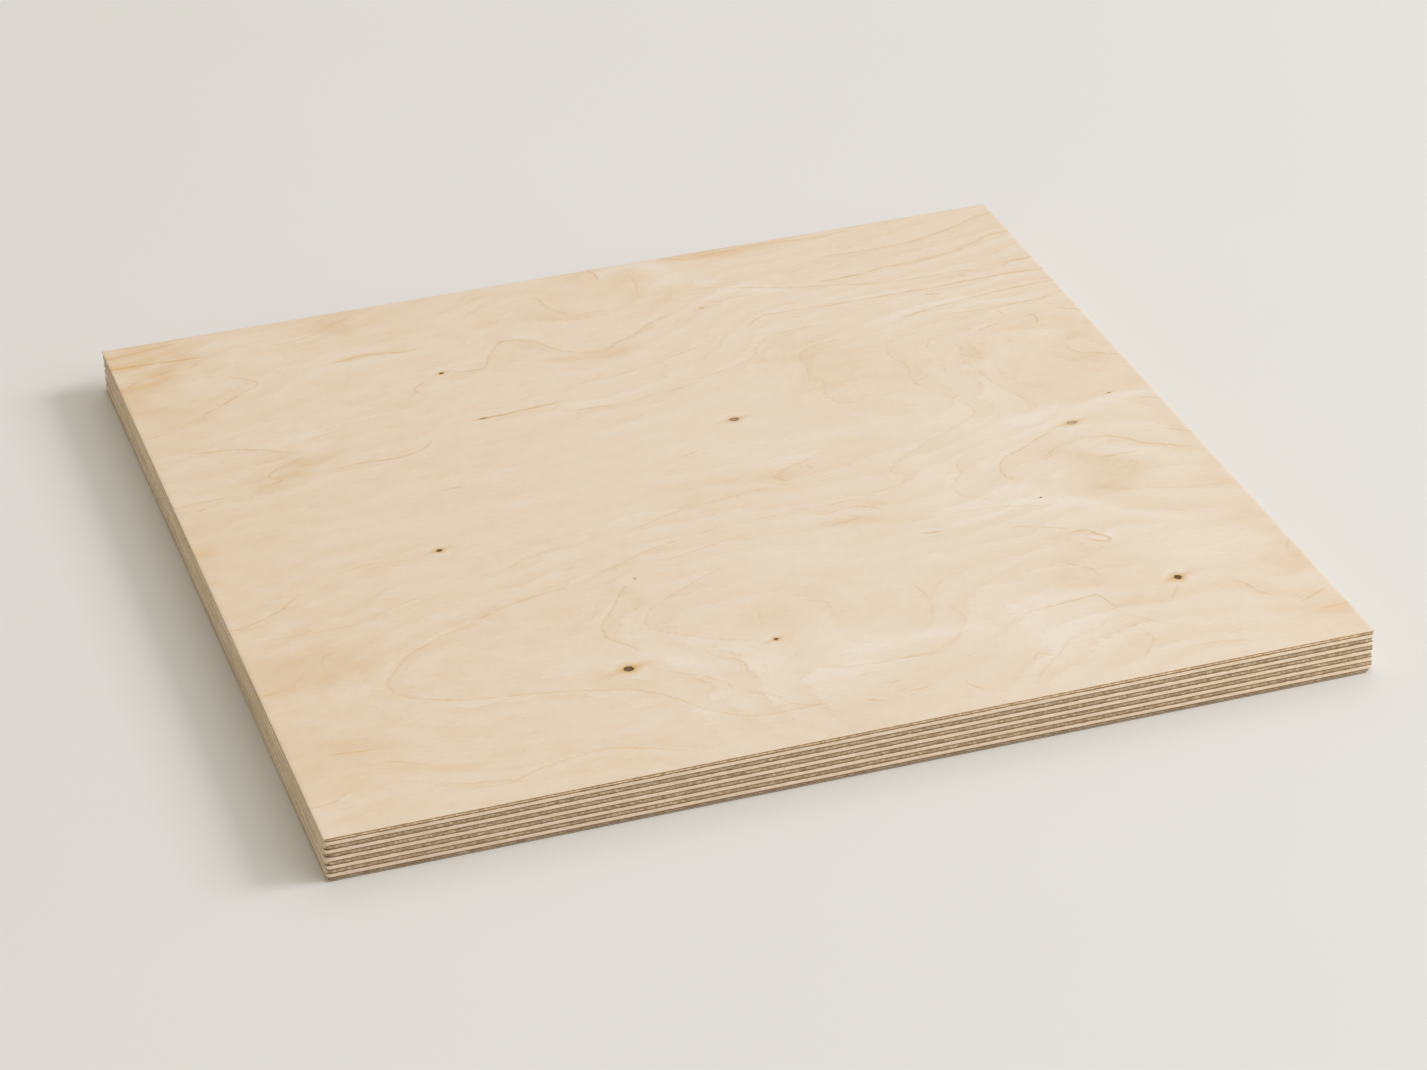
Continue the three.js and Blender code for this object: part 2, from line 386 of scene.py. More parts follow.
def select(kind, test):
    """In edit mode, selects the vertices, edges or faces that pass the test, and nothing else."""
    bpy.context.tool_settings.mesh_select_mode = (kind == "verts", kind == "edges", kind == "faces")
    bpy.ops.mesh.select_all(action="DESELECT")
    data = bpy.context.object.data
    for element in getattr(bmesh.from_edit_mesh(data), kind):
        if test(element):
            element.select_set(True)
    bmesh.update_edit_mesh(data)


def level(edge):
    """True for an edge that lies level, such as one that runs along a sawn side."""
    return abs(edge.verts[0].co.z - edge.verts[1].co.z) < TINY


def start_piece(name, add_primitive, **settings):
    """Adds a primitive with everything else deselected, puts its place in its mesh, and goes into edit mode."""
    bpy.ops.object.select_all(action="DESELECT")
    add_primitive(**settings)
    piece = bpy.context.object
    piece.name = piece.data.name = name
    bpy.ops.object.transform_apply(location=True, rotation=True, scale=True)
    bpy.ops.object.mode_set(mode="EDIT")
    return piece


def displace(piece, name, grain, strength, direction, weights):
    """Moves the weighted vertices by a cloud pattern whose lumps are about grain wide."""
    group = piece.vertex_groups.new(name=name)
    for index in np.flatnonzero(weights):
        group.add([int(index)], float(weights[index]), "REPLACE")
    clouds = bpy.data.textures.get(name) or bpy.data.textures.new(name, "CLOUDS")
    clouds.noise_scale = grain
    modifier = piece.modifiers.new(name, "DISPLACE")
    modifier.texture, modifier.texture_coords = clouds, "LOCAL"
    modifier.direction, modifier.strength = direction, strength
    modifier.mid_level, modifier.vertex_group = 0.5, name
    bpy.ops.object.modifier_apply(modifier=modifier.name)
    piece.vertex_groups.clear()


def vertex_places(piece):
    """The piece's vertices as rows of x, y and z, in metres."""
    places = np.empty(len(piece.data.vertices) * 3)
    piece.data.vertices.foreach_get("co", places)
    return places.reshape(-1, 3)


def set_attribute(piece, name, values):
    """Stores one number, or three, for each vertex."""
    kind, field = ("FLOAT", "value") if values.ndim == 1 else ("FLOAT_VECTOR", "vector")
    attribute = piece.data.attributes.new(name, kind, "POINT")
    attribute.data.foreach_set(field, values.astype(np.float32).ravel())


def set_lay(piece, bottom, top, number, glued=(True, True)):
    """Stores where each vertex lies in its veneer: distance to the nearest glue line and height, in mm, and the
    veneer's number."""
    z = vertex_places(piece)[:, 2]
    above, below = (z - bottom) / MM, (top - z) / MM
    far = np.full_like(z, 99)
    to_glue = np.minimum(above if glued[0] else far, below if glued[1] else far)
    set_attribute(piece, "lay", np.stack([to_glue, above, np.full_like(z, number)], 1))


def finish_piece(piece, node, flat, along_x, along_y):
    """Smooths the piece, gives its level faces and its sides along X and along Y their materials, and hands it to
    the frame in place of its solid."""
    bpy.ops.object.shade_smooth_by_angle(angle=SMOOTH_BELOW)
    for material in (flat, along_x, along_y):
        piece.data.materials.append(material)
    for face in piece.data.polygons:
        x, y, z = (abs(n) for n in face.normal)
        face.material_index = 0 if z > 0.9 else 1 if y > x else 2
    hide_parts(node)
    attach(piece, "root")


def model_ply(node, number, end_grain_along_x, settings):
    """An inner veneer: a slab whose sawn sides are cut into cells and rubbed along their arrises. The sides that
    show end grain are set back and torn, and their corners have crumbled."""
    low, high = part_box(node)
    size, middle = high - low, (low + high) / 2
    set_back = Vector((0, settings.recess, 0) if end_grain_along_x else (0, 0, 0))
    piece = start_piece(
        node + "_sawn", bpy.ops.mesh.primitive_cube_add, size=1, location=middle, scale=size - 2 * set_back
    )
    for side_x, side_y in ((1, 1), (1, -1), (-1, 1), (-1, -1)):
        radius = settings.corner
        if end_grain_along_x:  # some have crumbled more than others
            radius = settings.crumbled * (1 + 0.4 * math.sin(number * (2.4 + side_x + 2 * side_y)))
        if side_x > 0:
            radius *= CRISPER_RIGHT
        if node == CHIPPED_PLY and (side_x, side_y) == CHIPPED_CORNER:
            radius = settings.chip
        select("edges", lambda edge: not level(edge) and all(v.co.x * side_x > 0 < v.co.y * side_y for v in edge.verts))
        bpy.ops.mesh.bevel(offset=radius, segments=4, affect="EDGES")
    select("faces", lambda face: abs(face.normal.z) > 0.5)
    bpy.ops.mesh.delete(type="ONLY_FACE")
    for cuts in SIDE_CUTS:
        select("edges", lambda edge: level(edge) and edge.calc_length() > 2 * MM)
        bpy.ops.mesh.subdivide(number_cuts=cuts)
    select("edges", lambda edge: not level(edge))
    bpy.ops.mesh.subdivide(number_cuts=3)
    bpy.ops.mesh.select_all(action="SELECT")
    bpy.ops.mesh.fill_holes(sides=0)
    bpy.ops.mesh.select_all(action="DESELECT")
    bpy.ops.mesh.edges_select_sharp(sharpness=SHARP)
    bpy.ops.mesh.bevel(offset=settings.rounding, segments=3, affect="EDGES")
    bpy.ops.object.mode_set(mode="OBJECT")
    set_lay(piece, low.z, high.z, number)
    places = vertex_places(piece)
    displace(piece, "glue line wave", WAVE_LENGTH, settings.wave, "Z", np.ones(len(places)))
    finishes = veneer_materials(settings)
    flat, along_x, slot = finishes["long grain"], finishes["long grain"], "long_ply"
    if end_grain_along_x:
        sawn = abs(places[:, 1]) > size.y / 2 - settings.recess - 0.1 * MM
        displace(piece, "torn grain", FIBRE_BUNDLE, settings.torn, "NORMAL", sawn * 1.0)
        along_x, slot = finishes["end grain"], "cross_ply"
    finish_piece(piece, node, flat, along_x, finishes["rubbed edge"])


def model_face(node, number, rings, patches, knots, settings):
    """A sanded outer veneer: a grid with walls, finer cells and a small hollow at each knot, and a rubbed arris."""
    low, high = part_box(node)
    size, top = high - low, number > 1
    outer, inner, outward = (high.z, low.z, 1) if top else (low.z, high.z, -1)
    piece = start_piece(
        node + "_sanded", bpy.ops.mesh.primitive_grid_add, size=size.x, location=(0, 0, outer),
        x_subdivisions=settings.cells, y_subdivisions=settings.cells,
    )
    shift = Vector((*settings.figure_shift, 0))
    hollows = [(Vector((x * MM, y * MM, outer)) + shift, rx * MM, ry * MM) for x, y, rx, ry, *_ in knots]

    def on_outer_rim(place):
        rim = size.x / 2 - TINY
        return (abs(place.x) > rim or abs(place.y) > rim) and abs(place.z - outer) < TINY

    select("edges", lambda edge: edge.is_boundary)
    bpy.ops.mesh.extrude_region_move(TRANSFORM_OT_translate={"value": (0, 0, inner - outer)})
    bpy.ops.mesh.edge_face_add()
    for place, rx, ry in hollows:
        select("faces", lambda face: (face.calc_center_median() - place).length < FINER_CELLS * rx)
        bpy.ops.mesh.subdivide(number_cuts=3)
    for place, rx, ry in hollows:
        select("verts", lambda vertex: (vertex.co - place).length < HOLLOW_FLOOR * ry)
        bpy.ops.transform.translate(
            value=(0, 0, -outward * settings.knot_depth), use_proportional_edit=True,
            proportional_edit_falloff="SMOOTH", proportional_size=HOLLOW_WALLS * rx,
        )
    select("edges", lambda edge: all(on_outer_rim(v.co) for v in edge.verts))
    bpy.ops.mesh.bevel(offset=settings.arris, segments=2, affect="EDGES")
    bpy.ops.mesh.select_all(action="SELECT")
    if not top:  # the chip takes the corner off
        corner = Vector((*CHIPPED_CORNER, 0))
        bpy.ops.mesh.bisect(
            plane_co=corner * (size.x - settings.chip * CHIP_OF_FACE) / 2, plane_no=corner, use_fill=True,
            clear_outer=True,
        )
        bpy.ops.mesh.select_all(action="SELECT")
    bpy.ops.mesh.normals_make_consistent(inside=False)
    bpy.ops.object.mode_set(mode="OBJECT")
    set_lay(piece, low.z, high.z, number, glued=(top, not top))
    set_figure(piece, rings, patches, knots, shift, seed=number)
    glued = abs(vertex_places(piece)[:, 2] - inner) < TINY
    displace(piece, "glue line wave", WAVE_LENGTH, settings.wave, "Z", glued * 1.0)
    finishes = veneer_materials(settings)
    finish_piece(
        piece, node, finishes["veneer"], finishes["long grain"], finishes["rubbed edge"]
    )


# The figure of a peeled face ----------------------------------------------------------------------------------------

RING_LAYERS = 4  # lines that run close together are kept in different layers
RING_REACH = 3.5  # mm to either side of a line that its layer follows
SHADE_REACH = 22.0  # mm to either side of a line that it tints
TAPER = 8  # mm over which a line fades in at its ends, and no more than a third of its length
GRID_STEP = 2.0  # mm between the samples of the ring levels
LEVEL_REACH = 11.0  # mm to either side of a line within which it leads the level lines
RAMBLE = 4.0  # mm that the outlines of the patches ramble by


def smooth_path(text):
    """Points one millimetre apart on a smooth curve through the places in the text."""
    places = np.array([[float(c) for c in place.split(",")] for place in text.split()])
    ends = np.vstack([2 * places[0] - places[1], places, 2 * places[-1] - places[-2]])
    points = []
    for before, start, stop, after in zip(ends, ends[1:], ends[2:], ends[3:]):
        steps = max(2, int(np.hypot(*(stop - start))))
        for t in np.arange(steps)[:, None] / steps:
            points.append(
                start + t * (stop - before) / 2 + t**2 * (before - 2.5 * start + 2 * stop - after / 2)
                + t**3 * (1.5 * (start - stop) + (after - before) / 2)
            )
    return np.array(points + [places[-1]])


def read_ring(row):
    """A ring line's share of amber, strength, browner side, which is 0 if it has none, and path."""
    style, path = row.split(":")
    colour, strength, *side = style.split()
    return float(colour == "amber"), STRENGTHS[strength], SIDES[side[0]] if side else 0, smooth_path(path)


def ease(x):
    """Smooth step from 0 to 1."""
    x = np.clip(x, 0, 1)
    return x * x * (3 - 2 * x)


def set_rings(piece, lines, xy, tone):
    """Stores each ring layer as signed distance, strength and amber share, and tints the wood beside the lines."""
    layers = np.zeros((RING_LAYERS, len(xy), 3))
    layers[:, :, 0] = RING_REACH
    paths_in = [[] for _ in layers]
    for amber, strength, browner, path in lines:
        gaps = [min((np.hypot(*(path[:, None] - line).T).min() for line in paths), default=99) for paths in paths_in]
        chosen = next((i for i, gap in enumerate(gaps) if gap > 2 * RING_REACH), int(np.argmax(gaps)))
        paths_in[chosen].append(path)
        near = np.flatnonzero(np.all((xy > path.min(0) - SHADE_REACH) & (xy < path.max(0) + SHADE_REACH), axis=1))
        away = xy[near, None] - path
        nearest = np.hypot(away[..., 0], away[..., 1]).argmin(1)
        away = away[np.arange(len(near)), nearest]
        gap = np.hypot(*away.T)
        heading = np.gradient(path, axis=0)[nearest]
        side = np.where(heading[:, 0] * away[:, 1] > heading[:, 1] * away[:, 0], 1, -1)
        # A line fades towards its ends, and stops there, unless it runs off the sheet
        runs_off = [99 * (abs(end).max() > CAD_SIDE / 2 - 1) for end in (path[0], path[-1])]
        to_end = np.minimum(nearest + runs_off[0], len(path) - 1 - nearest + runs_off[1])
        taper = ease((to_end + 0.5) / min(TAPER, len(path) / 3)) * ((gap < 1.2 * RING_REACH) | (to_end > 0))
        layer = layers[chosen]
        closer = gap < abs(layer[near, 0])
        strength_here = strength * taper * ease((RING_REACH - gap) / 1.5)
        layer[near[closer]] = np.stack([side * gap, strength_here, np.full(len(near), amber)], 1)[closer]
        if browner:
            shade = np.where(side == browner, np.exp(-gap / 7), -0.5 * np.exp(-gap / 4))
            tone[near] += 0.45 * strength * taper * shade
    for index, layer in enumerate(layers):
        set_attribute(piece, f"ring_{index + 1}", layer)


def ring_levels(lines):
    """Two grids. The first has heights whose level lines run along the ring lines, falling to each line's browner
    side, and elsewhere along the grain; one unit is about a millimetre across the rings. The second says how
    crowded the rings are, from 0 to 1."""
    count = int(round(CAD_SIDE / GRID_STEP)) + 1
    axis = np.linspace(-CAD_SIDE / 2, CAD_SIDE / 2, count)
    places = axis[:, None] + 1j * axis  # a place or direction is one complex number, X real and Y imaginary
    slope, weight = np.full(places.shape, 0.12j), np.full(places.shape, 0.12)
    for _, _, browner, path in sorted(lines, key=lambda line: line[2] == 0):
        path = path[::2] @ (1, 1j)
        leftward = 1j * np.gradient(path)
        leftward /= abs(leftward)
        near = np.exp(-abs(places[..., None] - path) ** 2 / (2 * LEVEL_REACH**2))
        share = min(1, len(path) / 20) * 2 / near.sum(-1).max()
        pull = (near @ leftward) * share
        slope += pull * (-browner or np.sign((pull.conj() * slope / weight).real.sum()) or 1)
        weight += near.sum(-1) * share
    slope /= weight
    # The heights whose slope comes closest to this one, found by waves over the grid and its mirror images
    along, up = (np.vstack([part, sign * part[::-1]]) for part, sign in ((slope.real, -1), (slope.imag, 1)))
    along, up = np.hstack([along, along[:, ::-1]]), np.hstack([up, -up[:, ::-1]])
    wave = 2 * np.pi * np.fft.fftfreq(2 * count, GRID_STEP)
    wave_x, wave_y = wave[:, None], wave[None, :]
    length = wave_x**2 + wave_y**2
    length[0, 0] = 1
    heights = -1j * (wave_x * np.fft.fft2(along) + wave_y * np.fft.fft2(up)) / length
    return np.fft.ifft2(heights).real[:count, :count], 1 - np.exp(-weight / 2)


def read_grid(grid, xy):
    """The grid's value at each place, by straight lines between its samples."""
    at = np.clip((xy + CAD_SIDE / 2) / GRID_STEP, 0, len(grid) - 1.001)
    low = at.astype(int)
    (i, j), (u, v) = low.T, (at - low).T
    return (
        grid[i, j] * (1 - u) * (1 - v) + grid[i + 1, j] * u * (1 - v)
        + grid[i, j + 1] * (1 - u) * v + grid[i + 1, j + 1] * u * v
    )


def ramble(xy, reach, seed):
    """Moves the places about by up to reach mm or so, by waves 12 to 60 mm long, so that outlines ramble."""
    random = np.random.default_rng(seed)
    moved = xy.copy()
    for axis in (0, 1):
        for length in np.geomspace(12, 60, 14):
            direction = random.uniform(0, math.tau)
            wave = xy @ (math.cos(direction) * 0.6, math.sin(direction)) * math.tau / length
            moved[:, axis] += reach * length / 60 * np.sin(wave + random.uniform(0, math.tau))
    return moved


def set_figure(piece, rings, patches, knots, shift, seed):
    """Stores the marks of the peeled log on the vertices, for the veneer's material to draw."""
    xy = (vertex_places(piece) - shift)[:, :2] / MM
    tone, amber = np.zeros(len(xy)), np.zeros(len(xy))
    rambling = ramble(xy, RAMBLE, seed)
    for x, y, length, width, tilt, brown, orange in patches:
        turn = math.radians(tilt)
        turned = (rambling - (x, y)) @ np.array([[math.cos(turn), -math.sin(turn)], [math.sin(turn), math.cos(turn)]])
        close = np.exp(-0.7 * np.sum((turned / (length, width)) ** 2, 1))
        tone += brown * close
        amber += orange * close
    lines = [read_ring(row) for row in rings]
    set_rings(piece, lines, xy, tone)
    core = np.full((len(xy), 3), (9.0, 0.0, 0.0))
    for x, y, rx, ry, dark, resin in knots:
        away = (xy - (x, y)) / (rx, ry)
        radius = np.hypot(*away.T)
        here = np.stack([radius, np.full_like(radius, dark), np.full_like(radius, resin)], 1)
        core = np.where((radius < core[:, 0])[:, None], here, core)
        # Resin in a thin broken ring, in a glow round it and drawn out into wings along the grain, which rise a
        # little to the right, with paler wood above and below them
        across = (away[:, 1] - 0.25 * away[:, 0]) / (0.35 + 0.15 * abs(away[:, 0]))
        ring = np.exp(-(((radius - 1.1) / 0.4) ** 2)) * (0.75 - 0.25 * away[:, 1] / (radius + 0.1))
        wings = np.exp(-abs(away[:, 0]) / 2.6 - across**2)
        glow = np.exp(-(((radius - 1.0) / 1.5) ** 2))
        share = (0.5 + 0.5 * dark) * ease((radius - 0.8) / 0.3)
        tone += share * (1.3 * ring + 1.5 * wings + 0.35 * glow)
        amber += share * (1.1 * ring + 1.9 * wings + 0.6 * glow)
        tone -= 0.4 * share * np.exp(-(((radius - 3.2) / 0.9) ** 2)) * ease(abs(across) / 3)
    set_attribute(piece, "knot", core)
    heights, crowded = (read_grid(grid, xy) for grid in ring_levels(lines))
    set_attribute(piece, "tint", np.stack([tone, amber, heights], 1))
    set_attribute(piece, "crowded", crowded)


# Materials ----------------------------------------------------------------------------------------------------------

# What many nodes have in common
PLUS, TIMES, TIMES_PLUS = {"operation": "ADD"}, {"operation": "MULTIPLY"}, {"operation": "MULTIPLY_ADD"}
SMOOTH = {"interpolation_type": "SMOOTHSTEP"}
COLOURS = {"data_type": "RGBA"}
TINTED = {"data_type": "RGBA", "blend_type": "MULTIPLY"}
BIRCH_IOR = 1.45
# Painted shade: the sawn edges are made darker near the floor, as shade falls where the sheet meets it
CONTACT_SHADE_HEIGHT = 2.2 * MM  # how far up the sheet its edges are darkened by the floor
TOP_CROSS_PLY = 12  # its number, counted from the bottom


def add_node(tree, kind, *values, inputs=None, **settings):
    """Adds a node with its settings. The values go to its inputs in turn and the named inputs to theirs: each is a
    number, a colour, an output to link, or a node, which stands for its first output."""
    added = tree.nodes.new("ShaderNode" + kind)
    for name, value in settings.items():
        setattr(added, name, value)
    in_use = (index for index, socket in enumerate(added.inputs) if socket.enabled)
    for key, value in (*zip(in_use, values), *(inputs or {}).items()):
        if isinstance(value, bpy.types.Node):
            value = next(output for output in value.outputs if output.enabled)
        if isinstance(value, bpy.types.NodeSocket):
            tree.links.new(value, added.inputs[key])
        else:
            added.inputs[key].default_value = value
    return added


def empty_tree(owner):
    """Gives a material or world an empty node tree, and returns what adds a node to it."""
    owner.use_nodes = True
    owner.node_tree.nodes.clear()
    return partial(add_node, owner.node_tree)


def stored(add, attribute):
    """The three numbers that an attribute stores, as outputs."""
    return add("SeparateXYZ", add("Attribute", attribute_name=attribute).outputs["Vector"]).outputs


def rotary_cut_birch_veneer(name, settings):
    """Rotary-cut birch veneer, sanded and bare: pale cream wood with almost no gloss, where the knife's path
    through the growth rings shows as fine brown and amber lines, and the fibres as faint streaks along X."""
    add = empty_tree(bpy.data.materials.new(name))
    place = add("VectorMath", add("TexCoord").outputs["Object"], 1 / MM, operation="SCALE")  # in mm
    brown, orange, ring_height = stored(add, "tint")
    crowded = add("Attribute", attribute_name="crowded").outputs["Fac"]

    def noise(at, length, width, detail=2.0, distortion=0.0):
        """Noise whose lumps are length by width, in mm, about as often over a half as under it."""
        scaled = add("Mapping", at, inputs={"Scale": (1 / length, 1 / width, 1)})
        return add("TexNoise", scaled, 1.0, detail, inputs={"Distortion": distortion})

    def vary(total, value, size):
        """Adds noise to the total, moved from around a half to around zero, and scaled to size."""
        return add("Math", total, add("Math", value, 2 * size, -size, **TIMES_PLUS), **PLUS)

    # A place along the grain and a height on the ring levels, shaken along the fibres so that lines feather
    # where they cross the grain
    shake = add("Math", noise(place, 5, 0.9), 3.0, -1.5, **TIMES_PLUS)
    shake = vary(shake, noise(place, 3, 3), 0.8)
    height = add("Math", ring_height, shake, **PLUS)
    lie = add("CombineXYZ", add("SeparateXYZ", place).outputs["X"], height)

    # Fibres: one is too fine to show, so the streaks are bundles, half a millimetre wide and 20 mm long
    fibres = noise(place, 20, 0.5, detail=3)
    patches = noise(place, 30, 14, distortion=0.6)
    streaky = add("Math", noise(lie, 16, 2.5, detail=4), 1.1, 0.45, **TIMES_PLUS)
    tone = add("Math", brown, streaky, **TIMES)
    for value, size in (
        (fibres, 0.22), (noise(place, 3.5, 2, detail=3), 0.4), (noise(lie, 20, 1.5, detail=3), 0.14),
        (noise(lie, 60, 8), 0.2), (patches, 0.3),
    ):
        tone = vary(tone, value, size)
    amber = vary(add("Math", orange, streaky, **TIMES), noise(lie, 60, 8, detail=3), 0.2)
    mottle = add("Math", noise(place, 11, 7, detail=4), 1.0, -0.5, **TIMES_PLUS)
    amber = add("Math", mottle, add("Math", crowded, 0.8, 0.6, **TIMES_PLUS), amber, **TIMES_PLUS)

    # Lesser rings and flecks, which follow the same levels as the drawn lines and keep to where these crowd. Each
    # ring is a terrace 11 mm wide: a line on one side, from which the brown fades to the next.
    cycle = add("Math", height, 1 / 11, add("Math", patches, 1.5, **TIMES), **TIMES_PLUS)
    cycle = add("Math", cycle, operation="FRACT")
    come_and_go = add("MapRange", noise(place, 24, 9), 0.45, 0.62, **SMOOTH)
    lesser = add("Math", add("MapRange", cycle, 0.1, 0.0, **SMOOTH), come_and_go, **TIMES)
    lesser = add("Math", lesser, crowded, **TIMES)
    terrace = add("Math", add("MapRange", cycle, 0.8, 0.0, -0.4, 0.6, **SMOOTH), crowded, **TIMES)
    in_groups = add("MapRange", noise(place, 40, 25), 0.45, 0.6, **SMOOTH)
    flecks = add("Math", add("MapRange", noise(lie, 12, 1.2), 0.62, 0.74, **SMOOTH), in_groups, **TIMES)
    for mark, strength in ((lesser, 0.45), (terrace, 0.45), (flecks, 0.25)):
        tone = add("Math", mark, strength, tone, **TIMES_PLUS)
    amber = add("Math", add("Math", lesser, flecks, **PLUS), 0.35, amber, **TIMES_PLUS)

    # The drawn ring lines come and go along their length. An amber one adds less brown and more amber.
    patchy = add("MapRange", noise(place, 9, 4), 0.36, 0.62, 0.6, 1.15, **SMOOTH)
    for layer in range(RING_LAYERS):
        distance, strength, orange = stored(add, f"ring_{layer + 1}")
        away = add("Math", shake, 0.5, distance, **TIMES_PLUS)
        line = add("MapRange", add("Math", away, operation="ABSOLUTE"), 1.05, 0.05, **SMOOTH)
        line = add("Math", line, add("Math", strength, patchy, **TIMES), **TIMES)
        tone = add("Math", line, add("Math", orange, -0.5, 1.3, **TIMES_PLUS), tone, **TIMES_PLUS)
        amber = add("Math", line, add("Math", orange, 0.85, 0.38, **TIMES_PLUS), amber, **TIMES_PLUS)

    ramp = add("ValToRGB", add("MapRange", tone, -1.0, 3.0))
    ramp.color_ramp.elements.new(0.5)
    stops = ((0.0, settings.pale_wood), (1 / 4, settings.sapwood), (1.0, settings.heart_tint))
    for stop, (position, colour) in zip(ramp.color_ramp.elements, stops):
        stop.position, stop.color = position, colour
    amber = add("Math", amber, 0.38, use_clamp=True, **TIMES)
    wood = add("Mix", amber, ramp, settings.amber, **COLOURS)

    # Pin knots: a brown core with a darker rim and a lighter heart
    radius, dark, resin = stored(add, "knot")
    radius = vary(radius, noise(place, 0.9, 0.9), 0.25)
    core = add("Mix", dark, settings.knot_wood, settings.knot_core, **COLOURS)
    core = add("Mix", resin, core, settings.knot_resin, **COLOURS)
    rim = add("MapRange", radius, 0.35, 0.85, 1.2, 0.8, **SMOOTH)
    core = add("Mix", 1.0, core, rim, **TINTED)
    colour = add("Mix", add("MapRange", radius, 1.1, 0.85, **SMOOTH), wood, core, **COLOURS)

    roughness = add("MapRange", fibres, 0.3, 0.7, 0.55, 0.7, **SMOOTH)
    relief = add("Bump", inputs={"Height": fibres, "Strength": 0.5, "Distance": 0.02 * MM})
    shader = add("BsdfPrincipled", colour, inputs={"Roughness": roughness, "IOR": BIRCH_IOR, "Normal": relief})
    add("OutputMaterial", shader)


def sawn_edge(
    name, wood, other_wood, glue_film, glue_width, beads, streaks, drawn=8, contact_shade=1.0, head=0.0, painted_light_rise=0.0
):
    """Birch veneer edges as the saw left them: matt wood, darker in a line along each glue film, glue_width in mm to
    either side of it. It changes to the other wood in long stretches and, by the share beads, in the short beads
    that cut bundles of fibres make. streaks is how strongly the tone varies in streaks, which are drawn out along
    the veneer to the length drawn in mm. foot is how light the bottom of the sheet is, which is painted shade where
    the sheet meets the floor; head is how much lighter the top cross ply is; and rise is how much lighter the +X end
    is than the middle, which is painted light, as if more light fell on that end."""
    add = empty_tree(bpy.data.materials.new(name))
    x, y, z = add("SeparateXYZ", add("TexCoord").outputs["Object"]).outputs
    along = add("Math", x, y, **PLUS)
    to_glue, height, number = stored(add, "lay")

    def pattern(length, width, slant=0.0, detail=2.0, kind="TexNoise", **settings):
        """A pattern along the veneer whose lumps are length by width in mm, and different in each veneer."""
        across = add("Math", height, slant, **TIMES)
        a = add("Math", along, 1 / (length * MM), across, **TIMES_PLUS)
        b = add("Math", height, 1 / width, **TIMES)
        c = add("Math", number, 7.31, **TIMES)
        return add(kind, add("CombineXYZ", a, b, c), 1.0, detail, **settings)

    stretch = add("MapRange", pattern(22, 50, detail=3), 0.35, 0.65, 0.0, 1 - beads)
    # A cut fibre is too fine to show, so each bead is a bundle, a millimetre or two long
    bead = add("MapRange", pattern(1.7, 0.9, detail=3), 0.42, 0.58, 0.0, beads)
    colour = add("Mix", add("Math", stretch, bead, **PLUS), wood, other_wood, **COLOURS)
    checks = pattern(1.6, 1.1, slant=0.8, detail=0, kind="TexVoronoi", feature="DISTANCE_TO_EDGE")
    lumps = pattern(6, 2.5, slant=0.3)
    shade = add("MapRange", pattern(drawn, 0.5, detail=3), 0.25, 0.75, 1 - streaks, 1 + streaks)
    for factor in (
        add("MapRange", checks, 0.02, 0.2, 1 - 0.4 * beads, 1.0),
        add("MapRange", lumps, 0.3, 0.7, 1 - 0.15 * beads, 1 + 0.15 * beads),
    ):
        shade = add("Math", shade, factor, **TIMES)
    colour = add("Mix", 1.0, colour, shade, **TINTED)

    # The glue line wanders a little, and is browner in some stretches than in others
    wander = add("Math", pattern(3, 50), 0.35, to_glue, **TIMES_PLUS)
    glue = add("MapRange", wander, glue_width + 0.325, glue_width + 0.025, **SMOOTH)
    glue_tone = add("MapRange", pattern(9, 50, detail=3), 0.3, 0.7, 0.8, 1.25)
    glue_colour = add("Mix", 1.0, glue_film, glue_tone, **TINTED)
    colour = add("Mix", glue, colour, glue_colour, **COLOURS)

    # Painted shade and light: darker near the floor, as shade falls where the sheet meets it, and lighter towards +X,
    # as if more light fell on that end. head sets the top cross ply's own tone.
    light = add("MapRange", z, 0.0, CONTACT_SHADE_HEIGHT, contact_shade, 1.0)
    half_side = CAD_SIDE / 2 * MM
    for factor in (
        add("MapRange", number, TOP_CROSS_PLY - 1, TOP_CROSS_PLY, 1.0, 1 + head),
        # Painted light: the +X end lighter than the middle, as if more light fell on it
        add("MapRange", x, -half_side, half_side, 1 - painted_light_rise, 1 + painted_light_rise),
    ):
        light = add("Math", light, factor, **TIMES)
    colour = add("Mix", 1.0, colour, light, **TINTED)
    relief = add("Bump", inputs={"Height": shade, "Strength": 0.6, "Distance": 0.1 * MM})
    shader = add("BsdfPrincipled", colour, inputs={"Roughness": 0.8, "IOR": BIRCH_IOR, "Normal": relief})
    add("OutputMaterial", shader)


def veneer_materials(settings):
    """The finishes of the sheet, made once and shared."""
    names = {
        "veneer": "rotary-cut birch veneer, sanded", "end grain": "birch veneer, end grain sawn",
        "long grain": "birch veneer, long grain sawn", "rubbed edge": "birch veneer edge, rubbed and dusty",
    }
    # The sawn edges get painted shade near the floor, and the front and back edges painted light towards +X
    if names["veneer"] not in bpy.data.materials:
        rotary_cut_birch_veneer(names["veneer"], settings)
        # Brown, matt and beaded, between two dark lines where resin soaked into the cut fibres
        sawn_edge(
            names["end grain"], settings.end_grain, settings.end_grain_pale, settings.glue_film,
            glue_width=0.33, beads=0.8, streaks=0.08, contact_shade=0.62, head=0.45, painted_light_rise=0.06,
        )
        # Pale, clean and lightly streaked
        sawn_edge(
            names["long grain"], settings.long_grain, settings.long_grain_warm, settings.glue_film,
            glue_width=0.12, beads=0.2, streaks=0.08, contact_shade=0.33, painted_light_rise=0.06,
        )
        # An even brown, with the bands all but hidden
        sawn_edge(
            names["rubbed edge"], settings.rubbed_edge, settings.rubbed_edge_dark, settings.glue_film,
            glue_width=0.13, beads=0.35, streaks=0.4, drawn=60, contact_shade=0.61, head=-0.04,
        )
    return {key: bpy.data.materials[name] for key, name in names.items()}


